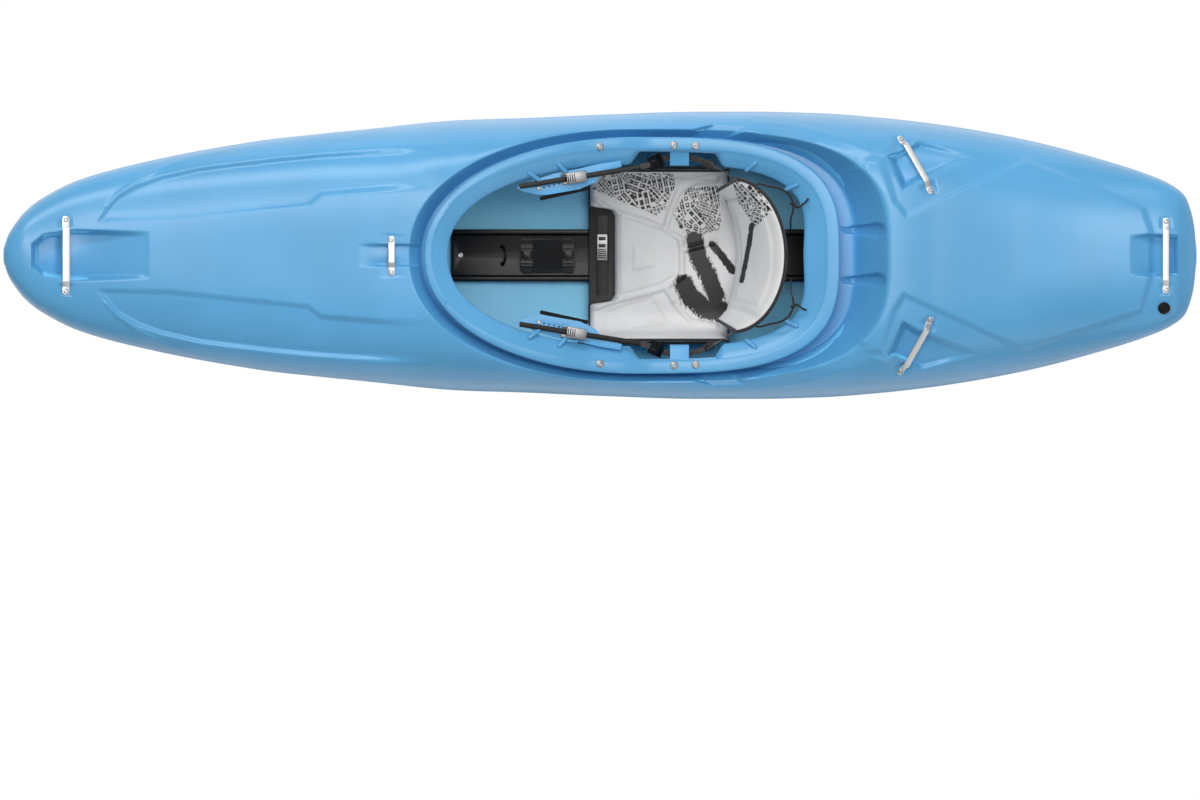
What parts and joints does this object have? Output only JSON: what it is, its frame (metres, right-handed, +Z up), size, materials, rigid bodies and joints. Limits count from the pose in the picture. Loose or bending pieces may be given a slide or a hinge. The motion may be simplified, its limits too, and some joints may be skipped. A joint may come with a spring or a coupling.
{
  "type": "whitewater kayak",
  "caption": "Whitewater kayak with a raised cockpit rim, deck grab bars, drain plug, padded seat, hip pads, thigh braces, ratcheted backband and a sliding foot rest.",
  "frame": {"origin": "on the ground under the middle of the hull's box, where the bottom touches", "axes": "+X from bow to stern, +Y to starboard, +Z up"},
  "size_m": [2.7, 0.645, 0.428],
  "materials": {
    "hull_blue": "satin moulded polyethylene",
    "fitting_blue": "satin moulded plastic",
    "bar_alloy": "brushed",
    "screw_steel": "satin stainless",
    "black_plastic": "satin",
    "black_fabric": "woven",
    "white_cover": "coated fabric over foam",
    "grey_webbing": "woven",
    "grey_foam": "closed-cell foam",
    "ratchet_grey": "satin",
    "black_rubber": "matte"
  },
  "bodies": {
    "boat": {"hull_shell": "hull_blue", "bow_grab_bar": "bar_alloy", "bow_grab_bar_screw_1": "screw_steel", "bow_grab_bar_screw_2": "screw_steel", "front_deck_bar": "bar_alloy", "front_deck_bar_screw_1": "screw_steel", "front_deck_bar_screw_2": "screw_steel", "rear_grab_bar_starboard": "bar_alloy", "rear_grab_bar_starboard_screw_1": "screw_steel", "rear_grab_bar_starboard_screw_2": "screw_steel", "rear_grab_bar_port": "bar_alloy", "rear_grab_bar_port_screw_1": "screw_steel", "rear_grab_bar_port_screw_2": "screw_steel", "stern_grab_bar": "bar_alloy", "stern_grab_bar_screw_1": "screw_steel", "stern_grab_bar_screw_2": "screw_steel", "front_foam_pillar": "grey_foam", "rear_foam_pillar": "grey_foam", "seat_track": "black_plastic", "track_bolt": "screw_steel", "gear_pouch": "black_fabric", "seat_pan": "black_plastic", "seat_pad": "white_cover", "lifter_strap": "black_plastic", "lifter_ratchet": "ratchet_grey", "rim_screw_starboard_1": "screw_steel", "rim_screw_starboard_2": "screw_steel", "rim_screw_starboard_3": "screw_steel", "side_bolt_starboard": "screw_steel", "foot_rail_starboard": "bar_alloy", "hip_pad_starboard": "white_cover", "seat_hanger_starboard": "fitting_blue", "thigh_bracket_starboard": "black_plastic", "retention_cord_starboard": "black_fabric", "rim_screw_port_1": "screw_steel", "rim_screw_port_2": "screw_steel", "rim_screw_port_3": "screw_steel", "side_bolt_port": "screw_steel", "foot_rail_port": "bar_alloy", "hip_pad_port": "white_cover", "seat_hanger_port": "fitting_blue", "thigh_bracket_port": "black_plastic", "retention_cord_port": "black_fabric"},
    "backband": {"backband": "white_cover", "backband_webbing_starboard": "grey_webbing", "backband_webbing_port": "grey_webbing"},
    "lifter_lever": {"lifter_lever": "ratchet_grey"},
    "foot_bulkhead": {"foot_bulkhead": "black_plastic"},
    "drain_seal": {"drain_seal": "black_rubber"},
    "drain_plug": {"drain_plug": "black_plastic"},
    "ladder_strap_starboard": {"ladder_strap_starboard": "black_plastic"},
    "thigh_brace_starboard": {"thigh_brace_starboard": "fitting_blue", "thigh_pad_starboard": "black_fabric", "strap_ratchet_starboard": "ratchet_grey"},
    "ratchet_lever_starboard": {"ratchet_lever_starboard": "ratchet_grey"},
    "ladder_strap_port": {"ladder_strap_port": "black_plastic"},
    "thigh_brace_port": {"thigh_brace_port": "fitting_blue", "thigh_pad_port": "black_fabric", "strap_ratchet_port": "ratchet_grey"},
    "ratchet_lever_port": {"ratchet_lever_port": "ratchet_grey"}
  },
  "joints": [
    {"name": "backband_slide", "type": "slide", "parent": "boat", "child": "backband", "axis": [-0.979, 0, 0.2036], "range_m": [0, 0.02]},
    {"name": "lifter_lever_hinge", "type": "hinge", "parent": "boat", "child": "lifter_lever", "pos_m": [0.005, 0.048, 0.0612], "axis": [-1, 0, 0], "range_deg": [0, 60]},
    {"name": "foot_bulkhead_slide", "type": "slide", "parent": "boat", "child": "foot_bulkhead", "axis": [1, 0, 0], "range_m": [0, 0.1]},
    {"name": "drain_seal_slide", "type": "slide", "parent": "boat", "child": "drain_seal", "axis": [0.1156, -0.2847, 0.9516], "range_m": [0, 0.009]},
    {"name": "drain_plug_turn", "type": "hinge", "parent": "drain_seal", "child": "drain_plug", "pos_m": [1.27737, -0.11879, 0.27298], "axis": [0.1156, -0.2847, 0.9516], "range_deg": [0, 1080]},
    {"name": "ladder_strap_starboard_slide", "type": "slide", "parent": "boat", "child": "ladder_strap_starboard", "axis": [-0.9672, -0.1553, 0.2012], "range_m": [0, 0.0203]},
    {"name": "thigh_brace_starboard_slide", "type": "slide", "parent": "boat", "child": "thigh_brace_starboard", "axis": [-0.9672, -0.2111, 0.1412], "range_m": [0, 0.059]},
    {"name": "ratchet_lever_starboard_hinge", "type": "hinge", "parent": "thigh_brace_starboard", "child": "ratchet_lever_starboard", "pos_m": [-0.03091, 0.18047, 0.32997], "axis": [-0.1553, 0.9876, 0.0227], "range_deg": [0, 60]},
    {"name": "ladder_strap_port_slide", "type": "slide", "parent": "boat", "child": "ladder_strap_port", "axis": [-0.9672, 0.1553, 0.2012], "range_m": [0, 0.0203]},
    {"name": "thigh_brace_port_slide", "type": "slide", "parent": "boat", "child": "thigh_brace_port", "axis": [-0.9672, 0.2111, 0.1412], "range_m": [0, 0.059]},
    {"name": "ratchet_lever_port_hinge", "type": "hinge", "parent": "thigh_brace_port", "child": "ratchet_lever_port", "pos_m": [-0.03091, -0.18047, 0.32997], "axis": [0.1553, 0.9876, -0.0227], "range_deg": [0, 60]}
  ],
  "couplings": [
    {"joint": "drain_seal_slide", "follows": "drain_plug_turn", "m_per_rad": 0.00047746},
    {"joint": "ladder_strap_starboard_slide", "follows": "backband_slide", "ratio": 1.0123},
    {"joint": "ladder_strap_port_slide", "follows": "backband_slide", "ratio": 1.0123}
  ]
}
